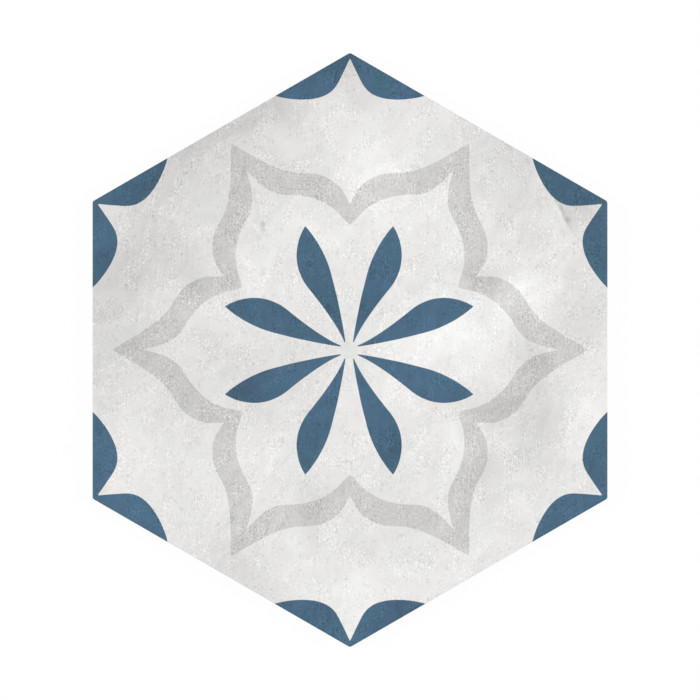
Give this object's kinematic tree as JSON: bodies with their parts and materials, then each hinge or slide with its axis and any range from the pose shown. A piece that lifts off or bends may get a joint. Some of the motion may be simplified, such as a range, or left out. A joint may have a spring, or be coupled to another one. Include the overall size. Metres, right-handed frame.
{
  "type": "hexagonal floor tile",
  "caption": "Regular hexagonal porcelain floor tile with a printed blue rosette inside a grey star, upright edges and a back of shallow keying cells.",
  "frame": {"origin": "centre of the bed (the back face), on the plane the tile lies on", "axes": "+Z out of the decorated face, +Y towards a corner, +X towards a flat side"},
  "size_m": [0.175, 0.2018, 0.009],
  "materials": {
    "tile": "matt printed glaze on the face, unglazed fired body on the sides and back"
  },
  "bodies": {
    "root": {"tile": "tile"}
  },
  "joints": []
}
